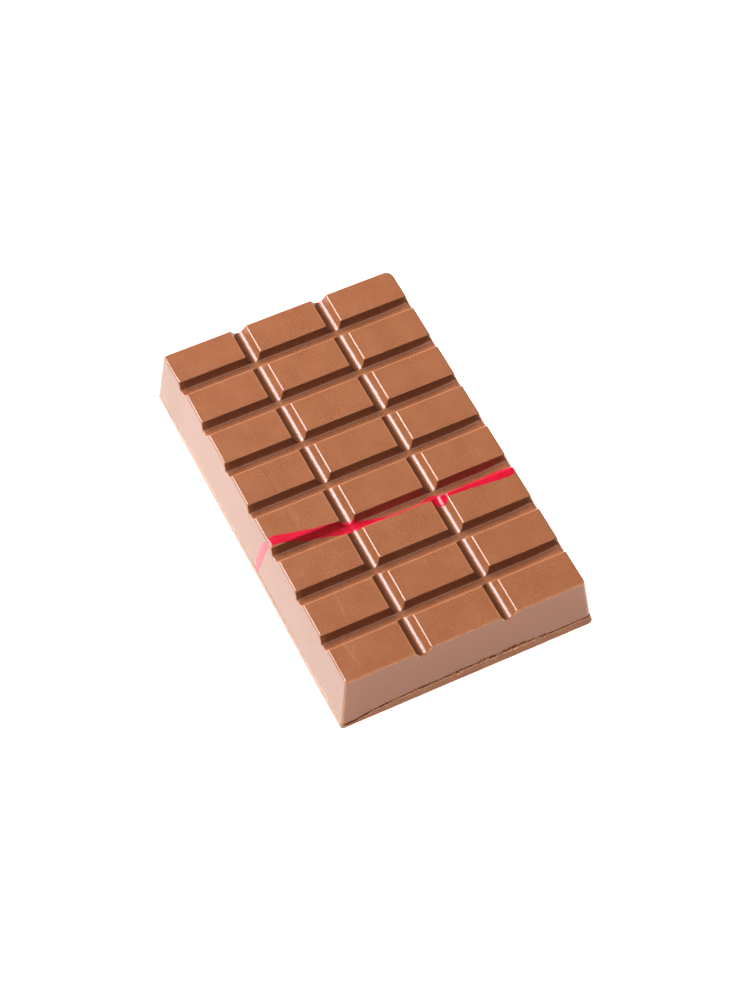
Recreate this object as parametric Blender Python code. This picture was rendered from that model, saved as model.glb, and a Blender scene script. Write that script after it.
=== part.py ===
"""A moulded bar of milk chocolate, three columns by eight rows of pieces, on its own backing layer.

Units are metres and +Z is up. The origin is the middle of the flat underside, +X runs across the
bar and +Y along it. The bar was cast upside down in a mould: the moulded body has the pieces, the
grooves and the drafted sides, and the backing layer is the chocolate that was poured on last and
scraped flat. The two meet at a seam, which shows low on the sides.
"""

import math

import bmesh
import bpy
from mathutils import Vector

# The grid of pieces
COLUMNS = 3
ROWS = 8
COLUMN_PITCH = 0.01982
ROW_PITCH = 0.0120
PATTERN_OFFSET = Vector((-0.00035, 0.0003))  # from the middle of the base to the middle of the grid

# The block that the grooves are cut into
HEIGHT = 0.01545
TOP_WIDTH = 0.0559
TOP_LENGTH = 0.0926
SIDE_DRAFT = 0.00185  # how far each long side leans out between the top and z = 0
END_DRAFT = 0.00135  # the same for the two ends
TOP_SHIFT_X = -0.00018  # the top face sits a little off the middle of the base
CORNER_RADIUS = 0.0006
WORN_CORNER_RADIUS = 0.0011  # the upright corner at +X, +Y
TOP_EDGE_RADIUS = 0.00045

# The grooves between the pieces
COLUMN_GROOVE_WIDTH = 0.00406  # between the outer ends of the rounded rims
ROW_GROOVE_WIDTH = 0.00412
GROOVE_DEPTH = 0.0017
WALL_ANGLE = math.radians(57)  # from the horizontal
ROOT_RADIUS = 0.0012
RIM_RADIUS = 0.00035
SHARP_RADIUS = 0.0001
COLUMN_MOUTH_RADIUS = 0.0004  # each groove opens out by this much where it leaves the bar
ROW_MOUTH_RADIUS = 0.0007
ROOT_STEPS = 3
RIM_STEPS = 2
MOUTH_STEPS = 3

# The backing layer and the seam above it
FOOT = 0.0003  # the layer flares out by this much at the bottom
SEAM_HEIGHT = 0.0025  # over most of the bar
SEAM_SWELL = 0.0002  # the slow rise and fall of that height along and across
LEFT_SEAM_HEIGHT = 0.0008  # the layer thins out towards the -X side
LEFT_SEAM_SWELL = 0.0004
LEFT_SEAM_WAVE = 1.35  # in half lengths of the bar
LEFT_SEAM_CREST = 0.55  # where the wave is highest, in half lengths from the middle
THINNING_STARTS = -0.5  # in half widths from the middle
LAYER_GAP = 0.0003

BODY_COLOUR = (0.42, 0.17, 0.085, 1)
LAYER_COLOUR = (0.36, 0.15, 0.08, 1)
ROUGHNESS = 0.32

# Cutters
OVERHANG = 0.004  # cutters run this far past the block
LEAD_IN = 0.0003  # grooves open out above the top face by this much
SEAM_STEPS = (10, 16)  # quads across and along in the surface between the layers

TOP_HALF = Vector((TOP_WIDTH / 2, TOP_LENGTH / 2))
BASE_HALF = TOP_HALF + Vector((SIDE_DRAFT, END_DRAFT))


def clear_scene():
    for obj in list(bpy.data.objects):
        bpy.data.objects.remove(obj)


def new_collection(name):
    collection = bpy.data.collections.new(name)
    bpy.context.scene.collection.children.link(collection)
    return collection


def chocolate(name, colour):
    material = bpy.data.materials.new(name)
    material.use_nodes = True
    shader = material.node_tree.nodes["Principled BSDF"]
    shader.inputs["Base Color"].default_value = colour
    shader.inputs["Roughness"].default_value = ROUGHNESS
    shader.inputs["Metallic"].default_value = 0.0
    return material


def mesh_object(name, bm, collection, parent=None):
    """An object from a bmesh, with its normals facing out. The bmesh is freed."""
    bmesh.ops.recalc_face_normals(bm, faces=bm.faces)
    mesh = bpy.data.meshes.new(name)
    bm.to_mesh(mesh)
    bm.free()
    obj = bpy.data.objects.new(name, mesh)
    obj.parent = parent
    collection.objects.link(obj)
    return obj


def make_cutter(obj):
    obj.hide_render = True
    obj.display_type = "WIRE"
    return obj


def add_boolean(obj, cutter, operation):
    modifier = obj.modifiers.new(f"{operation.lower()} {cutter.name}", "BOOLEAN")
    modifier.operation = operation
    modifier.object = cutter
    modifier.solver = "EXACT"


def leaning_block(height, base_half, top_half, top_shift, top_radius):
    """A box with leaning sides and rounded upright corners. Its top rim is rounded by top_radius."""
    bm = bmesh.new()
    bmesh.ops.create_cube(bm, size=2)
    worn = None
    for vert in bm.verts:
        if min(vert.co) > 0:
            worn = vert
        upper = vert.co.z > 0
        half = top_half if upper else base_half
        vert.co.x = vert.co.x * half.x + (top_shift if upper else 0)
        vert.co.y *= half.y
        vert.co.z = height if upper else 0
    upright = [e for e in bm.edges if abs(e.verts[0].co.z - e.verts[1].co.z) > height / 2]
    worn_edges = [e for e in upright if worn in e.verts]
    sound_edges = [e for e in upright if worn not in e.verts]
    for edges, radius in ((sound_edges, CORNER_RADIUS), (worn_edges, WORN_CORNER_RADIUS)):
        bmesh.ops.bevel(bm, geom=edges, offset=radius, segments=4, profile=0.5, affect="EDGES")
    if top_radius:
        rim = [e for e in bm.edges if min(v.co.z for v in e.verts) > height * 0.99]
        bmesh.ops.bevel(bm, geom=rim, offset=top_radius, segments=3, profile=0.5, affect="EDGES")
    return bm


def on_arc(middle, radius, angle):
    """A point of an arc, with the angle measured from straight below its middle."""
    return middle + radius * Vector((math.sin(angle), -math.cos(angle)))


def groove_half_outline(width, growth):
    """One half of a groove's cross-section, from the middle of its floor up and out past its rim.

    The points are (across, height), with height 0 at the top face. A narrow flat floor runs through
    an arc of ROOT_RADIUS into a wall that leans out at WALL_ANGLE, and an arc of RIM_RADIUS joins the
    wall to the top face. A growth moves floor and wall out into the chocolate by that distance.
    """
    half_angle = math.tan(WALL_ANGLE / 2)
    reach = width / 2 - RIM_RADIUS * half_angle + growth / math.sin(WALL_ANGLE)
    depth = GROOVE_DEPTH + growth
    root_radius = ROOT_RADIUS + growth
    floor_corner = reach - depth / math.tan(WALL_ANGLE)
    root_middle = Vector((floor_corner - root_radius * half_angle, root_radius - depth))
    rim_radius = max(RIM_RADIUS - growth, SHARP_RADIUS)
    rim_middle = Vector((reach + rim_radius * half_angle, -rim_radius))
    points = [Vector((0, -depth))]
    for step in range(ROOT_STEPS + 1):
        points.append(on_arc(root_middle, root_radius, WALL_ANGLE * step / ROOT_STEPS))
    for step in range(RIM_STEPS):
        points.append(on_arc(rim_middle, rim_radius, math.pi + WALL_ANGLE * (1 - step / RIM_STEPS)))
    lead = on_arc(rim_middle, rim_radius, math.pi) - points[-1]
    points.append(points[-1] + lead * ((LEAD_IN - points[-1].y) / lead.y))
    return points


def groove_sections(width, half_length, mouth_radius):
    """The groove's outlines along its run, as (place, outline). It flares like a trumpet at both ends."""
    places = []
    for step in range(MOUTH_STEPS + 1):
        angle = math.pi / 2 * step / MOUTH_STEPS
        inward = mouth_radius * (1 - math.sin(angle))
        places.append((half_length - inward, mouth_radius * (1 - math.cos(angle))))
    places.append((half_length + OVERHANG, mouth_radius))
    places = [(-place, growth) for place, growth in reversed(places)] + places
    sections = []
    for place, growth in places:
        right = groove_half_outline(width, growth)
        left = [Vector((-p.x, p.y)) for p in reversed(right[1:])]
        sections.append((place, left + right))
    return sections


def groove_cutter(name, width, half_length, mouth_radius, collection):
    """The space that a groove takes, along its own Y, centred, with its zero height at the rim."""
    bm = bmesh.new()
    rings = []
    for place, outline in groove_sections(width, half_length, mouth_radius):
        rings.append([bm.verts.new((p.x, place, p.y)) for p in outline])
    for first, second in zip(rings, rings[1:]):
        for i in range(len(first)):
            bm.faces.new((first[i - 1], first[i], second[i], second[i - 1]))
    bm.faces.new(rings[0])
    bm.faces.new(rings[-1])
    return make_cutter(mesh_object(name, bm, collection))


def groove_cutters(collection):
    cutters = []
    for i in range(1, COLUMNS):
        name = f"column_groove_{i}"
        cutter = groove_cutter(name, COLUMN_GROOVE_WIDTH, TOP_HALF.y, COLUMN_MOUTH_RADIUS, collection)
        cutter.location = (PATTERN_OFFSET.x + (i - COLUMNS / 2) * COLUMN_PITCH, 0, HEIGHT)
        cutters.append(cutter)
    for i in range(1, ROWS):
        name = f"row_groove_{i}"
        cutter = groove_cutter(name, ROW_GROOVE_WIDTH, TOP_HALF.x, ROW_MOUTH_RADIUS, collection)
        cutter.location = (TOP_SHIFT_X, PATTERN_OFFSET.y + (i - ROWS / 2) * ROW_PITCH, HEIGHT)
        cutter.rotation_euler = (0, 0, math.pi / 2)
        cutters.append(cutter)
    return cutters


def smooth_step(value):
    value = min(max(value, 0), 1)
    return value * value * (3 - 2 * value)


def seam_height(x, y):
    """How high the top of the backing layer is, at a place on the bar."""
    across = x / BASE_HALF.x
    along = y / BASE_HALF.y
    wide = SEAM_HEIGHT + SEAM_SWELL * math.sin(2.2 * across - 1.3 * along)
    crest = 2 * math.pi * (along - LEFT_SEAM_CREST) / LEFT_SEAM_WAVE
    left = LEFT_SEAM_HEIGHT + LEFT_SEAM_SWELL * math.cos(crest)
    share = smooth_step((THINNING_STARTS - across) / (THINNING_STARTS + 1))
    return wide + (left - wide) * share


def below_the_seam(name, lift, collection):
    """All the space under the seam's surface raised by lift, as a block that overhangs the bar."""
    bm = bmesh.new()
    half = BASE_HALF + Vector((OVERHANG, OVERHANG))
    bmesh.ops.create_grid(bm, x_segments=SEAM_STEPS[0], y_segments=SEAM_STEPS[1], size=1)
    for vert in bm.verts:
        vert.co.x *= half.x
        vert.co.y *= half.y
        vert.co.z = seam_height(vert.co.x, vert.co.y) + lift
    extruded = bmesh.ops.extrude_face_region(bm, geom=list(bm.faces))
    for vert in extruded["geom"]:
        if isinstance(vert, bmesh.types.BMVert):
            vert.co.z = -OVERHANG
    return make_cutter(mesh_object(name, bm, collection))


def moulded_body(parts, cutters, parent):
    """The block with its grooves cut, down to just above the seam."""
    bm = leaning_block(HEIGHT, BASE_HALF, TOP_HALF, TOP_SHIFT_X, TOP_EDGE_RADIUS)
    body = mesh_object("moulded_body", bm, parts, parent)
    add_boolean(body, below_the_seam("above_seam_cut", LAYER_GAP, cutters), "DIFFERENCE")
    for cutter in groove_cutters(cutters):
        add_boolean(body, cutter, "DIFFERENCE")
    body.data.materials.append(chocolate("milk_chocolate", BODY_COLOUR))
    return body


def backing_layer(parts, cutters, parent):
    """The flat layer under the body. Its sides meet the body's at the seam and flare out to a foot."""
    foot = Vector((FOOT, FOOT))
    block_height = 2 * SEAM_HEIGHT
    share = block_height / HEIGHT
    upper_half = BASE_HALF + (TOP_HALF - BASE_HALF) * share - foot
    bm = leaning_block(block_height, BASE_HALF + foot, upper_half, TOP_SHIFT_X * share, 0)
    layer = mesh_object("backing_layer", bm, parts, parent)
    add_boolean(layer, below_the_seam("below_seam", 0, cutters), "INTERSECT")
    layer.data.materials.append(chocolate("backing_chocolate", LAYER_COLOUR))
    return layer


def main():
    clear_scene()
    parts = new_collection("chocolate_bar")
    cutters = new_collection("cutters")
    bar = bpy.data.objects.new("bar", None)
    parts.objects.link(bar)
    moulded_body(parts, cutters, bar)
    backing_layer(parts, cutters, bar)


main()
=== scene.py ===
"""The looks of a moulded bar of milk chocolate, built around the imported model.

Lengths are millimetres while a surface is worked out, and metres once it is a mesh. The origin is
the middle of the bar's flat underside, +X runs across the bar, +Y along it and +Z up. The moulded
body is one formula: a distance that is zero on the surface, negative in the chocolate. A grid with
its lines gathered at every rim, root and edge is drawn onto that surface.
"""

import math

import bmesh
import bpy
import numpy as np
from mathutils import Matrix, Vector


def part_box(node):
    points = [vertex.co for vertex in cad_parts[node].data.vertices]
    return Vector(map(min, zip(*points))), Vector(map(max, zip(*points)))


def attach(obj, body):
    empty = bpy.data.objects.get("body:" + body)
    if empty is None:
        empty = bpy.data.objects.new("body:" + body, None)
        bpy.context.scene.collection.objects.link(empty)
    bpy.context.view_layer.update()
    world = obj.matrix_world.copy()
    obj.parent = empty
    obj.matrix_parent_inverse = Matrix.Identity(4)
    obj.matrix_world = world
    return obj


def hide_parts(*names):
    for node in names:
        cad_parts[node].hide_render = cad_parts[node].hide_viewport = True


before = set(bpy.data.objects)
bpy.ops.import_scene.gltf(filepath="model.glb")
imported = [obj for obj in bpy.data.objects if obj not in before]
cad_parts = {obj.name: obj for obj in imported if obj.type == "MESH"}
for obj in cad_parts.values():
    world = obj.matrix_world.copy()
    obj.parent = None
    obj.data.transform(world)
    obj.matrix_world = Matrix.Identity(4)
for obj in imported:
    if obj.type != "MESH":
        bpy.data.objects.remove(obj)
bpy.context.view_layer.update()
BODY_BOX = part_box("moulded_body")
LAYER_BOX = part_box("backing_layer")
MM = 0.001

# The grid of pieces, and the block that the grooves are pressed into
COLUMNS = 3
ROWS = 8
COLUMN_PITCH = 19.82
ROW_PITCH = 12.0
PATTERN_OFFSET = (-0.35, 0.3)
STRIPE_THICK = 0.05
HEIGHT = BODY_BOX[1].z / MM - 1.2 * STRIPE_THICK  # the red stripe reaches the model's full height
SIDE_DRAFT = 1.85
END_DRAFT = 1.35
FOOT = 0.3
BASE_HALF = (LAYER_BOX[1].x / MM - FOOT, LAYER_BOX[1].y / MM - FOOT)
TOP_SHIFT_X = -0.18

# Grooves
COLUMN_GROOVE_WIDTH = 4.06
ROW_GROOVE_WIDTH = 4.12
GROOVE_DEPTH = 1.7
WALL_ANGLE = math.radians(57)
COLUMN_ROOT = 1.34  # radius along the bottom of the grooves between columns
ROW_ROOT = 0.45
RIM_RADIUS = 0.35  # the radius that the widths are measured for

# How round each kind of edge is, in the round_max sense
COLUMN_RIM = 0.23
ROW_RIM = 0.17
RIDGE = 0.16  # where two grooves cross
LEFT_EDGE = 0.42
RIGHT_EDGE = 0.6
NEAR_EDGE = 0.2
FAR_EDGE = 0.35
COLUMN_MOUTH = 0.35
LEFT_MOUTH = 0.25
RIGHT_MOUTH = 0.95
RISE_LENGTH = 5.5  # the grooves between rows get shallower over this length at their right ends
RISE_ANGLE = math.radians(5.5)
RISE_RADIUS = 0.2
FAR_LEFT_SWELL = 0.26  # the left side stands out this much at its far end
CORNERS = {"near_left": 0.6, "near_right": 1.0, "far_left": 0.65, "far_right": 1.9}

# The seam between the two layers: places from -1 to 1 along each side, and heights
SEAM_NEAR = (
    (-1, 0.9), (-0.9, 0.95), (-0.77, 1.9), (-0.65, 2.1), (-0.53, 2.45), (-0.41, 2.5), (-0.18, 2.6),
    (0, 2.75), (0.18, 2.8), (0.31, 2.95), (0.52, 2.75), (0.72, 2.45), (0.93, 2.6), (1, 2.3),
)
SEAM_RIGHT = ((-1, 2.3), (-0.8, 2.6), (-0.3, 2.4), (0.15, 2.6), (0.6, 2.35), (0.85, 2.5), (1, 2.4))
SEAM_FAR = ((-1, 0.4), (-0.9, 0.6), (-0.7, 1.4), (-0.45, 2.1), (0, 2.45), (0.5, 2.6), (1, 2.4))
SEAM_LEFT = (
    (-1, 0.9), (-0.95, 0.8), (-0.85, 1.3), (-0.7, 0.95), (-0.4, 0.6), (0, 0.65), (0.3, 1.15),
    (0.5, 1.35), (0.7, 1.0), (0.8, 0.5), (1, 0.4),
)
# How far the seam stands open, in the same way
CRACK_NEAR = (
    (-1, 0.06), (-0.9, 0.09), (-0.6, 0.17), (-0.3, 0.22), (0.0, 0.2), (0.12, 0.12), (0.2, 0.03),
    (0.6, 0.03), (0.66, 0.16), (0.92, 0.2), (0.97, 0.06), (1, 0.02),
)
CRACK_RIGHT = ((-1, 0.02), (-0.6, 0.03), (-0.45, 0.14), (-0.1, 0.1), (0.05, 0.02), (1, 0.03))
CRACK_FAR = ((-1, 0.08), (-0.5, 0.15), (-0.2, 0.03), (0.4, 0.02), (0.6, 0.12), (1, 0.02))
CRACK_LEFT = ((-1, 0.05), (-0.7, 0.02), (1, 0.02))

# The red stripe: its near and far edge, first up the left side by height, then over the top by x
STRIPE_SIDE = (
    (0.75, -5.95, -4.0), (2.5, -6.25, -4.1), (5.5, -6.9, -4.35), (8, -7.4, -4.85), (10, -7.9, -5.4),
    (12, -8.4, -6.05), (13.5, -8.85, -6.6), (14.6, -9.2, -7.15),
)
STRIPE_TOP = (
    (-28.0, -9.4, -7.3), (-27.4, -9.4, -7.1), (-26.3, -9.55, -7.05), (-24.5, -9.9, -7.5),
    (-22.6, -10.25, -8.1), (-18.7, -11.1, -8.95), (-16.6, -11.4, -9.3), (-14.7, -11.8, -9.6),
    (-12.4, -12.7, -9.95), (-11.1, -13.05, -9.8), (-9.9, -12.85, -9.9), (-8.8, -13.3, -10.4),
    (-7.2, -13.65, -10.8), (-6.2, -13.6, -11.15), (-3.6, -13.65, -11.9), (-1.1, -13.8, -12.15),
    (2.7, -13.82, -12.45), (5.6, -13.85, -12.5), (6.8, -13.9, -12.2), (8.0, -14.3, -11.7),
    (8.8, -15.1, -11.7), (9.6, -15.4, -12.0), (10.6, -15.45, -12.5), (11.3, -14.9, -12.65),
    (12.0, -14.55, -12.6), (14.8, -14.7, -12.3), (18.9, -15.0, -12.1), (22.9, -15.5, -12.1),
    (25.5, -15.75, -12.2), (26.7, -15.5, -12.4), (27.4, -15.1, -12.9), (27.8, -14.5, -13.7),
)

# Camera
VIEW_AIM = (0.00164667, 0.00066272, 0)
VIEW_AZIMUTH = math.radians(26.695)
VIEW_ELEVATION = math.radians(56.423)
VIEW_ROLL = math.radians(0.713)
VIEW_DISTANCE = 0.5857
LENS = 95.609


def smooth_step(value):
    """Rises smoothly from 0 to 1 while the value does, and is held beyond."""
    value = np.clip(value, 0, 1)
    return value * value * (3 - 2 * value)


def round_max(a, b, radius):
    """The larger of two distances, with the edge between their surfaces rounded."""
    corner = np.hypot(np.maximum(a + radius, 0), np.maximum(b + radius, 0))
    return np.minimum(np.maximum(a, b), -radius) + corner


def lattice(x, y, z, seed):
    """A fixed value from -1 to 1 for each cell of a lattice, from mixing with large numbers."""
    mixed = x * 374761393 + y * 668265263 + z * 1440662683 + seed * 1013904223
    mixed = (mixed ^ (mixed >> 13)) * 1274126177
    mixed = mixed ^ (mixed >> 16)
    return (mixed & 0xFFFF) / 32767.5 - 1


def noise(x, y, z, seed):
    """Smooth noise from -1 to 1 with features one unit across."""
    cell = [np.floor(v).astype(np.int64) for v in (x, y, z)]
    part = [v - c for v, c in zip((x, y, z), cell)]
    fade = [p * p * p * (p * (p * 6 - 15) + 10) for p in part]
    total = np.zeros(np.shape(x + y + z))
    for i in (0, 1):
        for j in (0, 1):
            for k in (0, 1):
                share = 1.0
                for f, up in zip(fade, (i, j, k)):
                    share = share * (f if up else 1 - f)
                total += share * lattice(cell[0] + i, cell[1] + j, cell[2] + k, seed)
    return total


def flat_noise(x, y, length, seed):
    """Smooth noise seen from above, with features of a length in millimetres."""
    return noise(x / length, y / length, 0 * x, seed)


# ---- The moulded body's surface


def draft_half(z):
    """Half the body's width and length at a height, with its sides sharp."""
    share = z / HEIGHT
    return BASE_HALF[0] - SIDE_DRAFT * share, BASE_HALF[1] - END_DRAFT * share


def groove_space(across, up, width, root):
    """How far a point is inside a groove, with up measured from the top face."""
    reach = width / 2 - RIM_RADIUS * math.tan(WALL_ANGLE / 2)
    floor_half = reach - GROOVE_DEPTH / math.tan(WALL_ANGLE) - root * math.tan(WALL_ANGLE / 2)
    out = np.abs(across) - floor_half
    above = up + GROOVE_DEPTH - root
    wall = out * math.sin(WALL_ANGLE) - above * math.cos(WALL_ANGLE)
    at_root = (out > 0) & (out * math.cos(WALL_ANGLE) + above * math.sin(WALL_ANGLE) < 0)
    return root - np.where(at_root, np.hypot(out, above), np.maximum(wall, -above))


def groove_height(across, width, root):
    """The height of a sharp-rimmed groove's surface, measured from the top face."""
    reach = width / 2 - RIM_RADIUS * math.tan(WALL_ANGLE / 2)
    floor_half = reach - GROOVE_DEPTH / math.tan(WALL_ANGLE) - root * math.tan(WALL_ANGLE / 2)
    out = np.abs(across) - floor_half
    in_arc = np.clip(out, 0, root * math.sin(WALL_ANGLE))
    arc = root - GROOVE_DEPTH - np.sqrt(root**2 - in_arc**2)
    return np.minimum(arc + (out - in_arc) * math.tan(WALL_ANGLE) * (out > in_arc), 0)


def top_height(x, y):
    """The height of the top with its grooves, while all its rims are sharp."""
    return HEIGHT + np.minimum(
        groove_height(to_column_groove(x), COLUMN_GROOVE_WIDTH, COLUMN_ROOT),
        groove_height(to_row_groove(y), ROW_GROOVE_WIDTH, ROW_ROOT),
    )


def to_column_groove(x):
    """The distance across from the nearest groove between columns."""
    return np.abs(x - PATTERN_OFFSET[0]) - COLUMN_PITCH / 2


def to_row_groove(y):
    """The distance along from the nearest groove between rows."""
    along = y - PATTERN_OFFSET[1]
    last = ROWS / 2 - 1
    return along - np.clip(np.round(along / ROW_PITCH), -last, last) * ROW_PITCH


def row_space(x, y, up):
    """How far a point is inside a groove between rows, whose floor rises at its right end."""
    across = groove_space(to_row_groove(y), up, ROW_GROOVE_WIDTH, ROW_ROOT)
    start = draft_half(HEIGHT)[0] - RISE_LENGTH
    above = (up + GROOVE_DEPTH) * math.cos(RISE_ANGLE) - (x - start) * math.sin(RISE_ANGLE)
    return -round_max(-across, -above, RISE_RADIUS)


def far_left_share(x, y):
    """How much a place belongs to the far end of the left side."""
    return smooth_step((y / BASE_HALF[1] - 0.7) / 0.28) * (x < 0)


def side_distance(x, y, z):
    """How far a point is outside the body's upright sides, corners rounded."""
    half_x, half_y = draft_half(z)
    x = x - TOP_SHIFT_X * z / HEIGHT
    half_x = half_x + FAR_LEFT_SWELL * far_left_share(x, y)
    near, left = y < 0, x < 0
    radius = np.select(
        [near & left, near & ~left, ~near & left],
        [CORNERS["near_left"], CORNERS["near_right"], CORNERS["far_left"]],
        CORNERS["far_right"],
    )
    a = np.abs(x) - half_x + radius
    b = np.abs(y) - half_y + radius
    return np.hypot(np.maximum(a, 0), np.maximum(b, 0)) + np.minimum(np.maximum(a, b), 0) - radius


NICK = (2.99, -46.35, 15.42)  # a chip out of the near top edge
NICK_SIZE, NICK_DEPTH = 0.5, 0.2
NICK_STEPS = (-0.45, -0.3, -0.15, 0, 0.15, 0.3, 0.45)  # extra grid lines beside it
TOP_WAVE, SIDE_WAVE, FINE_WAVE = 0.014, 0.035, 0.004  # how uneven the surface is
SLOW_LENGTH, FINE_LENGTH = 9, 1.7  # how far apart its waves are


def unevenness(x, y, z):
    """How far the real surface lies inside the ideal one."""
    slow = noise(x / SLOW_LENGTH, y / SLOW_LENGTH, z / SLOW_LENGTH, 3)
    fine = FINE_WAVE * (1 + noise(x / FINE_LENGTH, y / FINE_LENGTH, z / FINE_LENGTH, 5))
    at_top = smooth_step((z - HEIGHT + 3) / 2)
    from_nick = np.sqrt((x - NICK[0]) ** 2 + (y - NICK[1]) ** 2 + (z - NICK[2]) ** 2)
    fine = fine + NICK_DEPTH * smooth_step(1 - from_nick / NICK_SIZE)
    return fine + TOP_WAVE * (1 + slow) * at_top + SIDE_WAVE * slow * (1 - at_top)


def body_distance(x, y, z):
    """Negative in the chocolate, positive outside. The body has no lower limit here."""
    up = z - HEIGHT
    column = groove_space(to_column_groove(x), up, COLUMN_GROOVE_WIDTH, COLUMN_ROOT)
    row = row_space(x, y, up)
    rim = np.where(column > row, COLUMN_RIM, ROW_RIM)
    top = round_max(up, round_max(column, row, RIDGE), rim)
    half_x, half_y = draft_half(z)
    to_side = half_x - np.abs(x)
    to_end = half_y - np.abs(y)
    at_side = smooth_step(0.5 + (to_end - to_side) / 1.5)
    side_edge = np.where(x < 0, LEFT_EDGE, RIGHT_EDGE)
    end_edge = np.where(y < 0, NEAR_EDGE, FAR_EDGE)
    edge = end_edge + (side_edge - end_edge) * at_side
    row_mouth = np.where(x < 0, LEFT_MOUTH, RIGHT_MOUTH)
    mouth = COLUMN_MOUTH + (row_mouth - COLUMN_MOUTH) * at_side
    opened = smooth_step(-up / 0.8) * smooth_step((top + 1.5) / 1.0)
    edge = edge + (mouth - edge) * opened
    return round_max(top, side_distance(x, y, z), edge) + unevenness(x, y, z)


# How wide the pale bands of painted glow along the body's edges are: down the sides, along the near
# edge and in the right mouths, then round the corners, where the near right one is rounder
SIDE_BAND, NEAR_BAND, MOUTH_BAND = 0.26, 0.4, 0.75
CORNER_BAND, NEAR_RIGHT_BAND = 0.4, 0.66
CORNER_SHARE = 0.7  # how strongly the corners show theirs


def on_edge(x, y, z):
    """How much a point of the surface lies on one of its rounded edges, from 0 to 1."""
    up = z - HEIGHT
    column = groove_space(to_column_groove(x), up, COLUMN_GROOVE_WIDTH, COLUMN_ROOT)
    row = row_space(x, y, up)
    hollow = np.maximum(column, row)
    rim = np.where(column > row, COLUMN_RIM, ROW_RIM)
    at_rim = 1 + np.minimum(up, hollow) / rim
    side = side_distance(x, y, z)
    at_near = y < END_DRAFT + 1 - BASE_HALF[1]
    in_right_mouth = (x > BASE_HALF[0] - SIDE_DRAFT - 1.2) & (up < -0.3)
    spread = np.where(at_near, NEAR_BAND, np.where(in_right_mouth, MOUTH_BAND, SIDE_BAND))
    at_side = 1 + np.minimum(np.maximum(up, hollow), side) / spread
    half_x, half_y = draft_half(z)
    corner = np.hypot(np.abs(x - TOP_SHIFT_X * z / HEIGHT) - half_x, np.abs(y) - half_y)
    corner_band = np.where((x > 0) & (y < 0), NEAR_RIGHT_BAND, CORNER_BAND)
    at_corner = CORNER_SHARE * (1.25 - corner / corner_band)
    return smooth_step(np.maximum(np.maximum(at_rim, at_side), at_corner) / 0.7)


def gradient(distance, x, y, z, step=0.004):
    """How a distance grows along x, y and z, which is the way out of its surface."""
    return np.stack(
        [
            distance(x + step, y, z) - distance(x - step, y, z),
            distance(x, y + step, z) - distance(x, y - step, z),
            distance(x, y, z + step) - distance(x, y, z - step),
        ],
        axis=-1,
    ) / (2 * step)


def settle(points, level=0.0, sideways=1.0, upright=1.0, rounds=7):
    """Moves points onto the body's surface, or onto one that lies level outside it."""
    weights = np.stack([sideways, sideways, upright], axis=-1) if np.ndim(sideways) else 1.0
    for _ in range(rounds):
        slope = gradient(body_distance, *points.T)
        way = slope * weights
        error = body_distance(*points.T) - level
        move = (error / np.maximum((slope * way).sum(-1), 0.05))[:, None] * way
        points = points - np.clip(move, -0.6, 0.6)
    return points


# ---- Meshes

# Where grid lines lie, by their distance from an edge and from the middle of a groove
EDGE_LINES = (0, 0.08, 0.17, 0.28, 0.42, 0.6, 0.85, 1.2, 1.7, 2.4)
GROOVE_LINES = (
    0, 0.2, 0.36, 0.52, 0.68, 0.84, 1.0, 1.2, 1.45, 1.62, 1.74, 1.84, 1.94, 2.04, 2.16, 2.36, 2.8,
)
FLAT_STEP = 0.95  # the widest gap between them


def grid_lines(half_low, half_high, centres, extra=()):
    """Places across the bar, close together at both ends and at every groove."""
    places = {round(-half_low + e, 4) for e in EDGE_LINES}
    places |= {round(half_high - e, 4) for e in EDGE_LINES}
    for centre in centres:
        places |= {round(centre + side * g, 4) for g in GROOVE_LINES for side in (-1, 1)}
    places = sorted(places | set(extra))
    filled = []
    for a, b in zip(places, places[1:]):
        steps = max(1, round((b - a) / FLAT_STEP))
        filled += [a + (b - a) * k / steps for k in range(steps)]
    return np.array(filled + [places[-1]])


def loop_places(nx, ny):
    """Indices round the edge of a grid, from the near left corner, anticlockwise from above."""
    loop = [(i, 0) for i in range(nx - 1)]
    loop += [(nx - 1, j) for j in range(ny - 1)]
    loop += [(i, ny - 1) for i in range(nx - 1, 0, -1)]
    loop += [(0, j) for j in range(ny - 1, 0, -1)]
    return loop


def along_loop(points):
    """Where points lie round a rectangle: the number of the side plus the share along it."""
    half_x = np.abs(points[:, 0]).max()
    half_y = np.abs(points[:, 1]).max()
    x = points[:, 0] / half_x
    y = points[:, 1] / half_y
    slack = 1e-9
    return np.select(
        [y <= -np.abs(x) + slack, x >= np.abs(y) - slack, y >= np.abs(x) - slack],
        [(x + 1) / 2, 1 + (y + 1) / 2, 2 + (1 - x) / 2],
        3 + (1 - y) / 2,
    )


def zipper(first, first_places, second, second_places):
    """Triangles between two closed loops of vertices whose places run from 0 to 4."""
    faces = []
    i = j = 0
    n, m = len(first), len(second)
    while i < n or j < m:
        next_first = first_places[i + 1] if i + 1 < n else 4.0
        next_second = second_places[j + 1] if j + 1 < m else 4.0
        if j >= m or (i < n and next_first <= next_second):
            faces.append((first[i % n], first[(i + 1) % n], second[j % m]))
            i += 1
        else:
            faces.append((first[i % n], second[(j + 1) % m], second[j % m]))
            j += 1
    return faces


def make_piece(name, points, faces):
    """A mesh object from points in millimetres, smooth shaded."""
    mesh = bpy.data.meshes.new(name)
    mesh.from_pydata((np.asarray(points) * MM).tolist(), [], [tuple(map(int, f)) for f in faces])
    mesh.validate()
    mesh.shade_smooth()
    mesh.update()
    obj = bpy.data.objects.new(name, mesh)
    bpy.context.scene.collection.objects.link(obj)
    return obj


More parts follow.
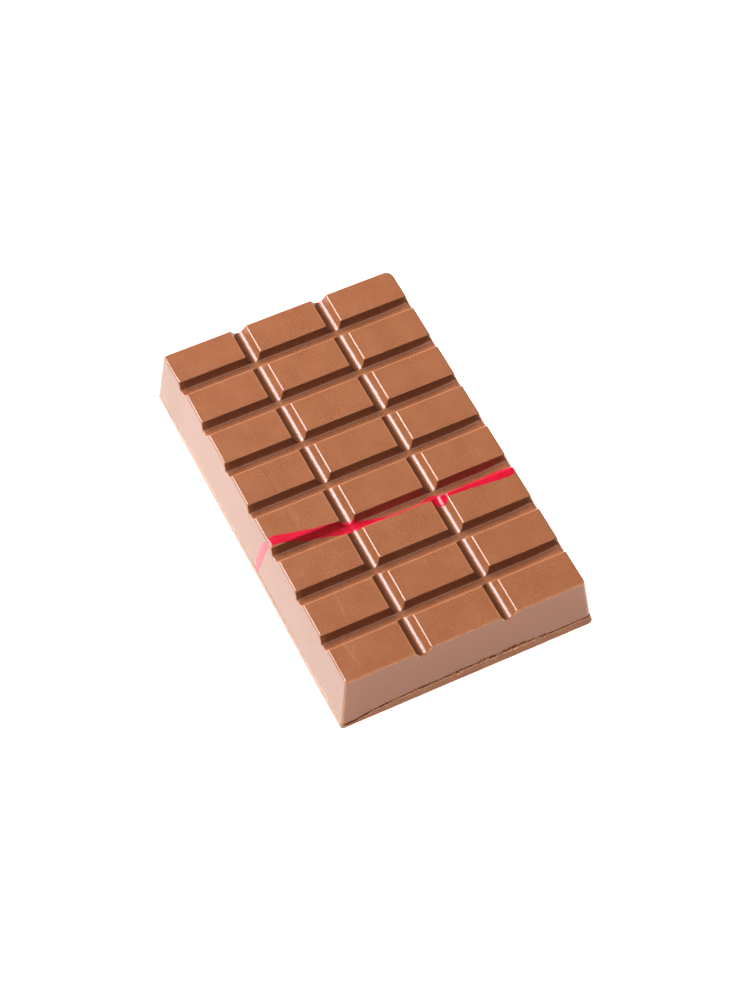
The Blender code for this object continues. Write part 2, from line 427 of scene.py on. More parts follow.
def side_table(near, right, far, left, x, y):
    """Looks a value up along the four sides, blended where two sides meet."""
    half_x, half_y = BASE_HALF
    u, v = np.clip(x / half_x, -1, 1), np.clip(y / half_y, -1, 1)
    gap = np.stack([(v + 1) * half_y, (1 - u) * half_x, (1 - v) * half_y, (u + 1) * half_x])
    value = np.stack(
        [
            np.interp(u, *zip(*near)),
            np.interp(v, *zip(*right)),
            np.interp(u, *zip(*far)),
            np.interp(v, *zip(*left)),
        ]
    )
    weight = 1 / (np.maximum(gap, 0) + 0.15) ** 3
    return (value * weight).sum(0) / weight.sum(0)


# The size, length and seed of the waves that make the seam ragged
SEAM_WAVES = ((0.07, 1.6, 11), (0.035, 0.5, 12))
CRACK_SCALE = 0.7  # how far the cracks stand open, next to their table
CRACK_RANGE = (0.015, 0.4)
HIDDEN_GAP = 0.15  # how far the hidden face on each side of the seam lies from its level


def seam_at(x, y):
    """The height of the middle of the seam between the two layers."""
    ragged = sum(size * flat_noise(x, y, length, seed) for size, length, seed in SEAM_WAVES)
    height = side_table(SEAM_NEAR, SEAM_RIGHT, SEAM_FAR, SEAM_LEFT, x, y)
    return height + ragged * np.clip(height, 0, 1)


def crack_at(x, y):
    """How far the seam stands open."""
    wide = side_table(CRACK_NEAR, CRACK_RIGHT, CRACK_FAR, CRACK_LEFT, x, y)
    return np.clip(CRACK_SCALE * wide * (1 + 0.45 * flat_noise(x, y, 1.1, 13)), *CRACK_RANGE)


CAP_STEPS = (20, 32)  # points across and along a hidden face
CAP_INSET = 2.6


def cap_grid(height):
    """A coarse grid of points over the middle of the bar."""
    xs = np.linspace(-BASE_HALF[0] + CAP_INSET, BASE_HALF[0] - CAP_INSET, CAP_STEPS[0])
    ys = np.linspace(-BASE_HALF[1] + CAP_INSET, BASE_HALF[1] - CAP_INSET, CAP_STEPS[1])
    x, y = [a.ravel() for a in np.meshgrid(xs, ys, indexing="ij")]
    return np.stack([x, y, height(x, y)], axis=-1)


def grid_faces(first, nx, ny, flip=False):
    """Squares between the points of a grid whose first point has a given index."""
    faces = []
    for i in range(nx - 1):
        for j in range(ny - 1):
            a = first + i * ny + j
            quad = (a, a + ny, a + ny + 1, a + 1)
            faces.append(quad[::-1] if flip else quad)
    return faces


def close_with_cap(points, faces, ring, height, flip):
    """Closes a ring of vertices with a coarse grid whose heights are given."""
    cap = cap_grid(height)
    first = len(points)
    nx, ny = CAP_STEPS
    loop = [first + i * ny + j for i, j in loop_places(nx, ny)]
    points = np.concatenate([points, cap])
    ring_points = points[ring]
    strip = zipper(ring, along_loop(ring_points), loop, along_loop(points[loop]))
    faces += [f[::-1] for f in strip] if flip else strip
    faces += grid_faces(first, nx, ny, flip)
    return points, faces


# How strongly the body's material shows its effects
ROOT_GLINT_SHARE = 0.3  # painted highlight: how pale the line is along the bottom of a far wall
EDGE_GLOW_SHARE = (0.95, 0.66)  # painted glow: how pale an edge is away from the light, and how much less in it
# How much painted shade far walls and the floors between rows get, where a wall that faces right
# gets 1
FAR_WALL_SHADE, FLOOR_SHADE = 0.5, 0.42

# Rings of points down the body's sides: below the top, between, and above the seam
TOP_ROWS = EDGE_LINES[1:]
MIDDLE_ROWS = 7
BOTTOM_ROWS = (1.2, 0.8, 0.5, 0.3, 0.16)
LOWER_LIP = ((0.05, 0.01), (0.02, 0.03), (0.0, 0.08), (0.0, 0.5), (0.06, 1.4))  # height and inset
LEAN_REACH = 1.6  # how far in from an edge places lean out with the sides
FREE_REACH, FREE_FADE = 2.6, 1.2  # how near an edge points settle both ways, and over what length


def left_share(x):
    """How much a place belongs to the left side, whose seam is tight and smooth."""
    return smooth_step((-x - BASE_HALF[0] + 1.2) / 0.6)


def build_body():
    """The moulded body: a grid over its top, rings down its sides, and a plain underside."""
    half_x, half_y = draft_half(HEIGHT)
    columns = [PATTERN_OFFSET[0] + (i - COLUMNS / 2) * COLUMN_PITCH for i in range(1, COLUMNS)]
    rows = [PATTERN_OFFSET[1] + (i - ROWS / 2) * ROW_PITCH for i in range(1, ROWS)]
    by_nick = [NICK[0] + step for step in NICK_STEPS]
    xs = grid_lines(half_x - TOP_SHIFT_X, half_x + TOP_SHIFT_X, columns, by_nick)
    ys = grid_lines(half_y, half_y, rows)
    nx, ny = len(xs), len(ys)
    x, y = [a.ravel() for a in np.meshgrid(xs, ys, indexing="ij")]
    z = top_height(x, y)

    def lean(x, y, z):
        """Moves places near the edge of the top out with the leaning sides."""
        drop = 1 - z / HEIGHT
        edge_x = smooth_step((np.abs(x - TOP_SHIFT_X) - half_x + LEAN_REACH) / LEAN_REACH)
        edge_y = smooth_step((np.abs(y) - half_y + LEAN_REACH) / LEAN_REACH)
        x = x + np.sign(x) * SIDE_DRAFT * drop * edge_x - TOP_SHIFT_X * drop * edge_x
        return x, y + np.sign(y) * END_DRAFT * drop * edge_y, z

    top = np.stack(lean(x, y, z), axis=-1)
    to_edge = np.minimum(half_x - np.abs(x - TOP_SHIFT_X), half_y - np.abs(y))
    free = smooth_step((FREE_REACH - to_edge) / FREE_FADE)
    top = settle(top, sideways=free, upright=np.ones(len(x)))
    loop = [i * ny + j for i, j in loop_places(nx, ny)]
    rim_x, rim_y, rim_z = x[loop], y[loop], z[loop]
    low = seam_at(*top[loop][:, :2].T) + crack_at(*top[loop][:, :2].T) / 2
    levels = [rim_z - row for row in TOP_ROWS]
    upper, lower = levels[-1], low + BOTTOM_ROWS[0]
    levels += [upper + (lower - upper) * k / (MIDDLE_ROWS + 1) for k in range(1, MIDDLE_ROWS + 1)]
    levels += [low + row for row in BOTTOM_ROWS]
    rings = []
    for level in levels:
        ring = np.stack(lean(rim_x, rim_y, level), axis=-1)
        free = smooth_step((level - rim_z + FREE_REACH) / FREE_FADE)
        rings.append(settle(ring, sideways=np.ones(len(ring)), upright=free))
    base = rings[-1]
    outward = gradient(side_distance, *base.T)
    outward[:, 2] = 0
    outward /= np.linalg.norm(outward, axis=1)[:, None]
    for height, inset in LOWER_LIP:
        ring = base - outward * inset
        ring[:, 2] = low + height * (1 - 0.7 * left_share(base[:, 0]))
        rings.append(ring)
    points = np.concatenate([top] + rings)
    normals = gradient(body_distance, *points.T)
    count = len(loop)
    faces = grid_faces(0, nx, ny)
    upper_ring = loop
    for r in range(len(rings)):
        lower_ring = [len(top) + r * count + k for k in range(count)]
        for k in range(count):
            after = (k + 1) % count
            faces.append((upper_ring[k], lower_ring[k], lower_ring[after], upper_ring[after]))
        upper_ring = lower_ring
    smooth_until = len(points) - count * len(LOWER_LIP)

    def underside(x, y):
        return seam_at(x, y) + HIDDEN_GAP

    points, faces = close_with_cap(points, faces, upper_ring, underside, True)
    body = make_piece("chocolate_body", points, faces)
    blend_normals(body, normals[:smooth_until])
    for name, shares in shade_body(points, normals, len(top)).items():
        add_shares(body, name, shares)
    return body


def shade_body(points, normals, top_count):
    """How strongly each of the material's effects shows at the body's points."""
    x, y, z = points[: len(normals)].T
    normals = normals / np.linalg.norm(normals, axis=1)[:, None]
    lit = np.clip(normals @ (np.array(SOFTBOX_FROM) / np.linalg.norm(SOFTBOX_FROM)), 0, 1)
    # Painted glow: rounded edges are tinted pale orange, more where they face away from the softbox
    edge = on_edge(x, y, z) * (EDGE_GLOW_SHARE[0] - EDGE_GLOW_SHARE[1] * lit)
    below_top = np.arange(len(normals)) >= top_count
    side = smooth_step((0.8 - normals[:, 2]) / 0.35) * below_top
    front = side * smooth_step(-normals[:, 1] / 0.8)
    depth = HEIGHT - z
    in_groove = smooth_step((depth - 0.02) / 0.16) * ~below_top
    to_right, to_near = normals[:, 0], -normals[:, 1]
    across = to_row_groove(y)
    in_row = row_space(x, y, -depth) > -0.05
    from_edge = smooth_step((draft_half(HEIGHT)[0] - np.abs(x - TOP_SHIFT_X) - 0.7) / 0.7)
    deep = smooth_step((depth - 0.8) / 0.5)
    # Painted shade in the grooves: walls facing right, far walls and the floors between rows
    shades = [
        smooth_step((to_right - 0.05) / 0.22),
        FAR_WALL_SHADE * smooth_step((to_near - 0.35) / 0.3) * from_edge,
        FLOOR_SHADE * smooth_step((across + 0.9) / 1.5) * in_row * deep * from_edge,
    ]
    hollow = in_groove * np.maximum.reduce(shades)
    glint = ROOT_GLINT_SHARE * np.maximum(1 - np.abs(across - 0.68) / 0.16, 0) * in_row * in_groove
    return {"edge": edge, "side": side, "front": front, "hollow": hollow, "glint": glint}


def add_shares(obj, name, shares):
    """Stores values on a piece's first points under a name, and 0 on the rest."""
    values = np.zeros(len(obj.data.vertices), np.float32)
    values[: len(shares)] = shares
    obj.data.attributes.new(name, "FLOAT", "POINT").data.foreach_set("value", values)


def blend_normals(obj, exact):
    """Gives the first vertices exact normals, and leaves the rest as their faces make them."""
    mesh = obj.data
    found = np.zeros(len(mesh.vertices) * 3, np.float32)
    mesh.vertex_normals.foreach_get("vector", found)
    found = found.reshape(-1, 3)
    found[: len(exact)] = exact
    found /= np.linalg.norm(found, axis=1)[:, None]
    mesh.normals_split_custom_set_from_vertices(found.tolist())


LAYER_STEP = 0.3
# Rings down the layer's side: how far below the seam, how far out, and their share of the lip
LIP_ROWS = (
    (0.10, -1.4, 0), (0.05, -0.5, 0), (0.02, -0.16, 0.2), (0, -0.05, 0.6), (0.06, 0, 1),
    (0.18, 0, 0.9), (0.34, 0, 0.3),
)
SIDE_ROWS = 6
# Heights and how far out for the last of them
FOOT_ROWS = ((0.2, 0.0), (0.1, -0.05), (0.03, -0.13), (0.0, -0.28), (0.0, -1.4 - FOOT))
LIP_HIGHLIGHT = (0, 0, 0.3, 1, 1, 0.7, 0.1)  # painted highlight: how pale the first rows of the layer's side are, along the lip
LIP_CRACK_SHADE = (1, 1, 0.6)  # painted shade: how dark they are, deep in the open crack


def rectangle_loop(step):
    """Places round the bar's base: points on a sharp rectangle, from the near left corner."""
    half_x, half_y = BASE_HALF
    across = np.linspace(-half_x, half_x, round(2 * half_x / step) + 1)[:-1]
    along = np.linspace(-half_y, half_y, round(2 * half_y / step) + 1)[:-1]
    near = np.stack([across, np.full_like(across, -half_y)], -1)
    right = np.stack([np.full_like(along, half_x), along], -1)
    return np.concatenate([near, right, -near, -right])


def side_points(places, z, out):
    """Points on the leaning side above or below places on a rectangle, moved out by a distance."""
    half_x, half_y = draft_half(z)
    x, y = places[:, 0] / BASE_HALF[0] * half_x, places[:, 1] / BASE_HALF[1] * half_y
    points = np.stack([x, y, z], -1)
    points[:, 0] += TOP_SHIFT_X * z / HEIGHT
    for _ in range(4):
        slope = gradient(side_distance, *points.T)
        slope[:, 2] = 0
        slope /= np.linalg.norm(slope, axis=1)[:, None]
        points = points - slope * side_distance(*points.T)[:, None]
    return points + slope * np.asarray(out)[:, None]


def build_layer():
    """The backing layer: a lip at the seam, rough sides spreading to a foot, a flat underside."""
    places = rectangle_loop(LAYER_STEP)
    x, y = places.T
    seam = seam_at(x, y)
    crack = crack_at(x, y)
    top = np.maximum(seam - crack / 2, 0.22)
    small = np.clip(top / 0.9, 0.25, 1) * (1 - 0.6 * left_share(x))
    lip = (0.04 + 0.5 * crack) * (0.7 + 0.5 * flat_noise(x, y, 0.7, 21))
    rows = [(top - drop * small, inset, lip_share) for drop, inset, lip_share in LIP_ROWS]
    reach = LIP_ROWS[-1][0] * small
    upper, lower = top - reach, reach
    for k in range(1, SIDE_ROWS + 1):
        rows.append((upper + (lower - upper) * k / SIDE_ROWS, 0, 0.1))
    rows += [(height * small, inset, 0) for height, inset in FOOT_ROWS]
    rings = []
    for z, inset, lip_share in rows:
        z = z * np.ones(len(x))
        flare = FOOT * np.clip(1 - z / (2.5 - 1.6 * left_share(x)), 0, 1)
        flare = flare * (1 - 0.9 * far_left_share(x, y))
        rough = 0.02 * noise(x / 0.35, y / 0.35, z / 1.6, 22)
        rough += 0.03 * noise(x / 1.2, y / 1.2, z / 0.7, 23)
        rough = rough * (0 < z) * (inset > -0.3)
        room = FOOT * (1 - far_left_share(x, y)) + END_DRAFT * z / HEIGHT
        out = np.minimum(flare + inset + lip * lip_share + rough, room)
        rings.append(side_points(places, z, out))
    count = len(places)
    points = np.concatenate(rings)
    faces = []
    for r in range(len(rings) - 1):
        for k in range(count):
            a, b = r * count + k, r * count + (k + 1) % count
            faces.append((a, a + count, b + count, b))
    total = len(points)

    def upper_side(x, y):
        return seam_at(x, y) - HIDDEN_GAP

    def under_side(x, y):
        return 0 * x

    first_ring, last_ring = list(range(count)), list(range(total - count, total))
    points, faces = close_with_cap(points, faces, first_ring, upper_side, False)
    points, faces = close_with_cap(points, faces, last_ring, under_side, True)
    layer = make_piece("chocolate_backing", points, faces)
    sleek = left_share(points[:, 0])
    add_shares(layer, "sleek", sleek)
    broken = smooth_step(0.75 + 0.6 * flat_noise(x, y, 0.9, 24))
    shown = smooth_step(crack / 0.14) * broken * (1 - 0.9 * sleek[:count])
    open_seam = smooth_step(crack / 0.12) * (1 - 0.9 * sleek[:count])
    add_shares(layer, "lip_highlight", np.outer(LIP_HIGHLIGHT, shown).ravel())
    add_shares(layer, "crack_shade", np.outer(LIP_CRACK_SHADE, open_seam).ravel())
    return layer


STRIPE_ACROSS = 32  # points across the stripe
STRIPE_STEP = 0.28
STRIPE_FREE_REACH = 2.2
STRIPE_UNDER = -0.04  # its hidden underside lies this far below the chocolate's surface


def stripe_edges(table, places, seed):
    """The stripe's near and far edges at places, a little uneven."""
    at, near, far = zip(*table)
    near = np.interp(places, at, near) + 0.09 * noise(places / 1.3, 0 * places, 0 * places, seed)
    far = np.interp(places, at, far) + 0.09 * noise(places / 1.5, 0 * places, 0 * places, seed + 1)
    return near, far


def build_stripe():
    """A thin film of red glaze that runs up the left side and slantwise over the top."""
    heights = np.arange(STRIPE_SIDE[0][0], STRIPE_SIDE[-1][0], STRIPE_STEP)
    xs = np.arange(STRIPE_TOP[0][0] + 0.25, STRIPE_TOP[-1][0] + 0.01, STRIPE_STEP)
    share = np.linspace(0, 1, STRIPE_ACROSS)
    share = 0.5 + 0.5 * np.sin((share - 0.5) * math.pi)
    side_near, side_far = stripe_edges(STRIPE_SIDE, heights, 31)
    top_near, top_far = stripe_edges(STRIPE_TOP, xs, 33)
    near = np.concatenate([side_near, top_near])
    far = np.concatenate([side_far, top_far])
    y = near[:, None] + (far - near)[:, None] * share
    z_side = np.repeat(heights[:, None], STRIPE_ACROSS, 1)
    half_x = draft_half(z_side)[0]
    x_side = -half_x + TOP_SHIFT_X * z_side / HEIGHT
    x_top = np.repeat(xs[:, None], STRIPE_ACROSS, 1)
    y_top = y[len(heights) :]
    z_top = top_height(x_top, y_top)
    x = np.concatenate([x_side, x_top]).ravel()
    z = np.concatenate([z_side, z_top]).ravel()
    seeds = np.stack([x, y.ravel(), z], axis=-1)
    to_edge = np.hypot(x + draft_half(HEIGHT)[0], z - HEIGHT)
    free = smooth_step((STRIPE_FREE_REACH - to_edge) / FREE_FADE)
    on_top = np.repeat(np.arange(len(near)) >= len(heights), STRIPE_ACROSS)
    sideways = np.where(on_top, free, 1.0)
    upright = np.where(on_top, 1.0, free)
    along = np.repeat(np.arange(len(near)), STRIPE_ACROSS)
    ends = smooth_step(np.minimum(along + 0.0, len(near) - 1 - along) / 2.5)
    crown = (1 - np.abs(2 * np.tile(share, len(near)) - 1) ** 3) * ends
    thick = STRIPE_THICK * (0.8 + 0.4 * noise(x / 2.0, y.ravel() / 2.0, z / 2.0, 35))
    upper = settle(seeds, crown * thick - 0.012 * (1 - crown), sideways, upright)
    lower = settle(seeds, STRIPE_UNDER * np.ones(len(x)), sideways, upright)
    nx, ny = len(near), STRIPE_ACROSS
    faces = grid_faces(0, nx, ny) + grid_faces(len(upper), nx, ny, True)
    loop = [i * ny + j for i, j in loop_places(nx, ny)]
    for a, b in zip(loop, loop[1:] + loop[:1]):
        faces.append((a, a + len(upper), b + len(upper), b))
    return make_piece("red_stripe", np.concatenate([upper, lower]), faces)


CRUMBS = 120
CRUMB_HEAP = (0.36, 0.17)  # where most lie along the side, from -1 to 1, and how far spread
HEAP_SHARE = 0.7
CRUMB_SIZE = (0.12, 0.36)
CRUMB_REACH = LAYER_BOX[0].y / MM + 0.01  # how far out a crumb may stand


def build_crumbs():
    """Crumbs of chocolate that cling along the seam of the near side, most where it is closed."""
    sphere = bmesh.new()
    bmesh.ops.create_icosphere(sphere, subdivisions=2, radius=1)
    ball = np.array([v.co[:] for v in sphere.verts])
    ball_faces = [[v.index for v in f.verts] for f in sphere.faces]
    sphere.free()
    rng = np.random.default_rng(7)
    points, faces = [], []
    for k in range(CRUMBS):
        u = rng.normal(*CRUMB_HEAP) if k < HEAP_SHARE * CRUMBS else rng.uniform(-0.95, 0.95)
        x = np.array([np.clip(u, -0.97, 0.97) * BASE_HALF[0]])
        size = CRUMB_SIZE[0] + (CRUMB_SIZE[1] - CRUMB_SIZE[0]) * rng.random() ** 3
        height = seam_at(x, np.array([-BASE_HALF[1]])) + rng.normal(0, 0.16) - 0.12
        place = side_points(np.array([[x[0], -BASE_HALF[1]]]), height, [0.7 * size])[0]
        stretch = np.array([rng.uniform(0.7, 1.5), rng.uniform(0.6, 1.0), rng.uniform(0.6, 1.0)])
        lumps = 1 + 0.35 * noise(*(ball * 1.4 + k).T, 41)
        shape = ball * lumps[:, None] * stretch * size
        turn = rng.uniform(0, math.pi)
        spun = shape[:, 0] * math.cos(turn) - shape[:, 2] * math.sin(turn)
        risen = shape[:, 0] * math.sin(turn) + shape[:, 2] * math.cos(turn)
        first = len(points) * len(ball)
        points.append(np.stack([spun, shape[:, 1], risen], -1) + place)
        faces += [[first + i for i in f] for f in ball_faces]
    points = np.concatenate(points)
    points[:, 1] = np.maximum(points[:, 1], CRUMB_REACH)
    return make_piece("seam_crumbs", points, faces)


# ---- Materials


def add_node(tree, kind, inputs=None, **settings):
    """A shader node with its settings, and its inputs set or linked by name or number."""
    made = tree.nodes.new("ShaderNode" + kind)
    for name, value in settings.items():
        setattr(made, name, value)
    for name, value in (inputs or {}).items():
        if isinstance(value, bpy.types.NodeSocket):
            tree.links.new(value, made.inputs[name])
        else:
            made.inputs[name].default_value = value
    return made


def math_node(tree, operation, a, b=0.0, c=0.0):
    """The result of one sum in the shader."""
    made = add_node(tree, "Math", {0: a, 1: b, 2: c}, operation=operation)
    return made.outputs[0]


def vector_math(tree, operation, inputs, output=0):
    """The result of one sum on vectors in the shader."""
    return add_node(tree, "VectorMath", inputs, operation=operation).outputs[output]


def stored_share(tree, name):
    """A value from 0 to 1 that the mesh stores at its points."""
    return add_node(tree, "Attribute", attribute_name=name).outputs["Fac"]


def object_place(tree, scale=(1, 1, 1)):
    """Places on the object in metres, stretched by a scale."""
    coordinates = add_node(tree, "TexCoord").outputs["Object"]
    return add_node(tree, "Mapping", {"Vector": coordinates, "Scale": scale}).outputs["Vector"]


def noise_value(tree, scale, detail=2.0, stretch=(1, 1, 1), distortion=0.0):
    """Noise about 0.5, with the scale counted per metre."""
    inputs = {
        "Vector": object_place(tree, stretch),
        "Scale": scale,
        "Detail": detail,
        "Distortion": distortion,
    }
    return add_node(tree, "TexNoise", inputs).outputs["Fac"]


def ramp(tree, value, low, high, out_low=0.0, out_high=1.0):
    """A value mapped from one range onto another, held at the ends."""
    inputs = {"Value": value, 1: low, 2: high, 3: out_low, 4: out_high}
    return add_node(tree, "MapRange", inputs).outputs["Result"]


def mix_colour(tree, share, a, b):
    """The first colour moved toward the second by a share."""
    return add_node(tree, "Mix", {0: share, 6: a, 7: b}, data_type="RGBA").outputs[2]


def tint(tree, colour, shade, share, amount):
    """A colour moved toward a shade by a share times an amount."""
    return mix_colour(tree, math_node(tree, "MULTIPLY", share, amount), colour, shade)


def new_material(name):
    """A material with its node tree and its shader."""
    material = bpy.data.materials.new(name)
    material.use_nodes = True
    tree = material.node_tree
    return material, tree, tree.nodes["Principled BSDF"]


EDGE_GLOW_COLOUR = (0.95, 0.37, 0.15, 1)
BODY_COLOUR = (0.386, 0.136, 0.057, 1)
BODY_PALE = (0.47, 0.20, 0.10, 1)
BODY_DEEP = (0.3, 0.092, 0.033, 1)
ROOT_GLINT_COLOUR = (0.8, 0.48, 0.38, 1)
# Tints for the sides and the front, set for how light falls on them: painted light
SIDE_COLOUR = (0.352, 0.142, 0.058, 1)
FRONT_COLOUR = (0.41, 0.127, 0.037, 1)
LAYER_COLOUR = (0.5, 0.195, 0.085, 1)
# LAYER_PALE serves the random pale patches and the painted highlight along the lip
LAYER_PALE = (0.97, 0.45, 0.2, 1)
# LAYER_SLEEK: painted light, as pale as the lit body side above the smooth left backing
LAYER_SLEEK = (0.6, 0.36, 0.25, 1)
LAYER_DEEP = (0.27, 0.06, 0.028, 1)
CRUMB_COLOUR = (0.85, 0.36, 0.16, 1)
CRUMB_PALE = (1.0, 0.6, 0.32, 1)
STRIPE_COLOUR = (0.72, 0.006, 0.035, 1)
STRIPE_DEEP = (0.55, 0.002, 0.018, 1)


# Faint lines on the tops: ends on the bar in millimetres, width, strength and colour
SCRATCHES = (
    ((-20.97, 9.7), (-21.18, 2.6), 0.2, 0.9, BODY_DEEP),
    ((-21.37, -1.9), (-21.45, -8.0), 0.2, 0.7, BODY_DEEP),
    ((-20.78, -25.8), (-21.23, -31.6), 0.45, 0.5, BODY_PALE),
    ((-24.5, -37.6), (-23.7, -43.7), 0.5, 0.45, BODY_PALE),
    ((-22.6, -38.8), (-24.6, -42.0), 0.35, 0.35, BODY_PALE),
    ((16.6, -44.8), (16.8, -44.7), 0.3, 0.5, BODY_PALE),
    ((-12.6, -45.9), (-12.4, -45.9), 0.3, 0.5, BODY_PALE),
)


SCRATCH_BEND = 0.7  # how far a line wanders, in millimetres


def scratch(tree, start, end, width):
    """One along a line between two places seen from above, fading to nothing beside it."""
    start, end = Vector(start) * MM, Vector(end) * MM
    along = end - start
    place = object_place(tree)
    wobble = {"Vector": place, "Scale": 900, "Detail": 1}
    wobble = add_node(tree, "TexNoise", wobble).outputs["Color"]
    bend = vector_math(tree, "SUBTRACT", {0: wobble, 1: (0.5, 0.5, 0.5)})
    bend = vector_math(tree, "SCALE", {0: bend, "Scale": SCRATCH_BEND * MM})
    place = vector_math(tree, "ADD", {0: place, 1: bend})
    place = vector_math(tree, "MULTIPLY", {0: place, 1: (1, 1, 0)})
    away = vector_math(tree, "SUBTRACT", {0: place, 1: (start.x, start.y, 0)})
    step = (along.x / along.length_squared, along.y / along.length_squared, 0)
    share = ramp(tree, vector_math(tree, "DOT_PRODUCT", {0: away, 1: step}, "Value"), 0, 1)
    near = vector_math(tree, "SCALE", {0: (along.x, along.y, 0), "Scale": share})
    gap = vector_math(tree, "DISTANCE", {0: away, 1: near}, "Value")
    return ramp(tree, gap, 0, width * MM, 1.0, 0.0)


SIDE_GRAIN = 0.3  # how much of the tops' grain the sides show
HOLLOW_LIGHT = 0.38  # painted shade: how bright the base colour is in the deepest hollows, next to the tops


def body_material():
    """Milk chocolate out of a mould: a satin gloss, fine speckle, slow mottling and faint bloom,
    with painted shade in the grooves, a painted highlight along their roots and painted glow on the
    edges.
    """
    material, tree, shader = new_material("milk_chocolate")
    mottle = ramp(tree, noise_value(tree, 190, 3), 0.35, 0.65, 0.0, 1.0)
    speckle = ramp(tree, noise_value(tree, 2600, 2), 0.36, 0.64, -1.0, 1.0)
    grain = ramp(tree, noise_value(tree, 5200, 1), 0.35, 0.65, -1.0, 1.0)
    swirl = ramp(tree, noise_value(tree, 420, 2, (1, 1, 1), 2.5), 0.56, 0.74, 0.0, 1.0)
    colour = tint(tree, BODY_COLOUR, BODY_DEEP, mottle, 0.35)
    colour = tint(tree, colour, BODY_PALE, swirl, 0.16)
    streak = ramp(tree, noise_value(tree, 620, 2, (1, 0.16, 0.4), 0.6), 0.6, 0.78, 0.0, 1.0)
    colour = tint(tree, colour, BODY_PALE, streak, 0.22)
    side = stored_share(tree, "side")
    # Painted light: sides and front are tinted apart from the tops to match how light falls on them
    colour = tint(tree, colour, SIDE_COLOUR, side, 0.8)
    colour = tint(tree, colour, FRONT_COLOUR, stored_share(tree, "front"), 0.8)
    for start, end, width, share, shade in SCRATCHES:
        colour = tint(tree, colour, shade, scratch(tree, start, end, width), share)
    rough = ramp(tree, noise_value(tree, 95, 2), 0.4, 0.62, 0.06, 0.15)
    light = math_node(tree, "MULTIPLY", speckle, rough)
    light = math_node(tree, "MULTIPLY_ADD", grain, 0.035, light)
    light = math_node(tree, "MULTIPLY", light, ramp(tree, side, 0, 1, 1.0, SIDE_GRAIN))
    light = math_node(tree, "ADD", light, 1.0)
    # Painted shade: the base colour is darkened down in the grooves
    hollow = stored_share(tree, "hollow")
    light = math_node(tree, "MULTIPLY", light, ramp(tree, hollow, 0, 1, 1.0, HOLLOW_LIGHT))
    scaled = vector_math(tree, "SCALE", {0: colour, "Scale": light})
    # Painted highlight: a pale line along the root of each far wall
    scaled = mix_colour(tree, stored_share(tree, "glint"), scaled, ROOT_GLINT_COLOUR)
    # Painted glow along the rounded edges, broken up by noise
    edge = stored_share(tree, "edge")
    painted_light_gaps = ramp(tree, noise_value(tree, 900, 2), 0.3, 0.6, 0.6, 1.0)
    edge = math_node(tree, "MULTIPLY", edge, painted_light_gaps)
    tree.links.new(mix_colour(tree, edge, scaled, EDGE_GLOW_COLOUR), shader.inputs["Base Color"])
    gloss = ramp(tree, noise_value(tree, 700, 3), 0.3, 0.7, 0.125, 0.17)
    tree.links.new(gloss, shader.inputs["Roughness"])
    tree.links.new(ramp(tree, hollow, 0.5, 1, 0.5, 0.12), shader.inputs["Specular IOR Level"])
    shader.inputs["IOR"].default_value = 1.52
    shader.inputs["Subsurface Weight"].default_value = 0.12
    shader.inputs["Subsurface Radius"].default_value = (1, 0.5, 0.3)
    shader.inputs["Subsurface Scale"].default_value = 0.0004
    strength = ramp(tree, side, 0, 1, 0.22, 0.05)
    bump = add_node(tree, "Bump", {"Height": speckle, "Strength": strength, "Distance": 0.000006})
    tree.links.new(bump.outputs["Normal"], shader.inputs["Normal"])
    return material


def layer_material():
    """The scraped backing: matt, drawn out upright in fine fibres, with a painted highlight along
    its lip.
    """
    material, tree, shader = new_material("backing_chocolate")
    fibre = ramp(tree, noise_value(tree, 1900, 3, (1, 1, 0.28)), 0.3, 0.7, 0.0, 1.0)
    patch = ramp(tree, noise_value(tree, 520, 3), 0.35, 0.65, 0.0, 1.0)
    colour = tint(tree, LAYER_COLOUR, LAYER_DEEP, fibre, 0.35)
    colour = tint(tree, colour, LAYER_PALE, patch, 0.1)
    # Painted highlight along the rounded lip under the seam
    lip_highlight = stored_share(tree, "lip_highlight")
    painted_light_gaps = ramp(tree, noise_value(tree, 1900, 2), 0.35, 0.55, 0.25, 1.0)
    colour = tint(tree, colour, LAYER_PALE, lip_highlight, painted_light_gaps)
    # Painted shade inside the open crack
    colour = mix_colour(tree, stored_share(tree, "crack_shade"), colour, LAYER_DEEP)
    sleek = stored_share(tree, "sleek")
    # Painted light: on the left the smooth backing is tinted as pale as the lit body side above it
    colour = tint(tree, colour, LAYER_SLEEK, sleek, 0.8)
    tree.links.new(colour, shader.inputs["Base Color"])
    tree.links.new(ramp(tree, sleek, 0, 1, 0.55, 0.22), shader.inputs["Roughness"])
    tree.links.new(ramp(tree, sleek, 0, 1, 0.3, 0.5), shader.inputs["Specular IOR Level"])
    strength = ramp(tree, sleek, 0, 1, 0.7, 0.08)
    bump = add_node(tree, "Bump", {"Height": fibre, "Strength": strength, "Distance": 0.00006})
    tree.links.new(bump.outputs["Normal"], shader.inputs["Normal"])
    return material


def stripe_material():
    """Red glaze, deeper in colour in random pools."""
    material, tree, shader = new_material("red_glaze")
    pool = ramp(tree, noise_value(tree, 420, 2), 0.35, 0.65, 0.0, 0.6)
    tree.links.new(mix_colour(tree, pool, STRIPE_COLOUR, STRIPE_DEEP), shader.inputs["Base Color"])
    shader.inputs["Roughness"].default_value = 0.2
    shader.inputs["IOR"].default_value = 1.48
    return material


def crumb_material():
    """Broken chocolate, matt and pale."""
    material, tree, shader = new_material("crumb_chocolate")
    patch = ramp(tree, noise_value(tree, 2200, 2), 0.35, 0.65, 0.0, 1.0)
    pale = mix_colour(tree, patch, CRUMB_COLOUR, CRUMB_PALE)
    tree.links.new(pale, shader.inputs["Base Color"])
    shader.inputs["Roughness"].default_value = 0.5
    return material


# ---- Stage


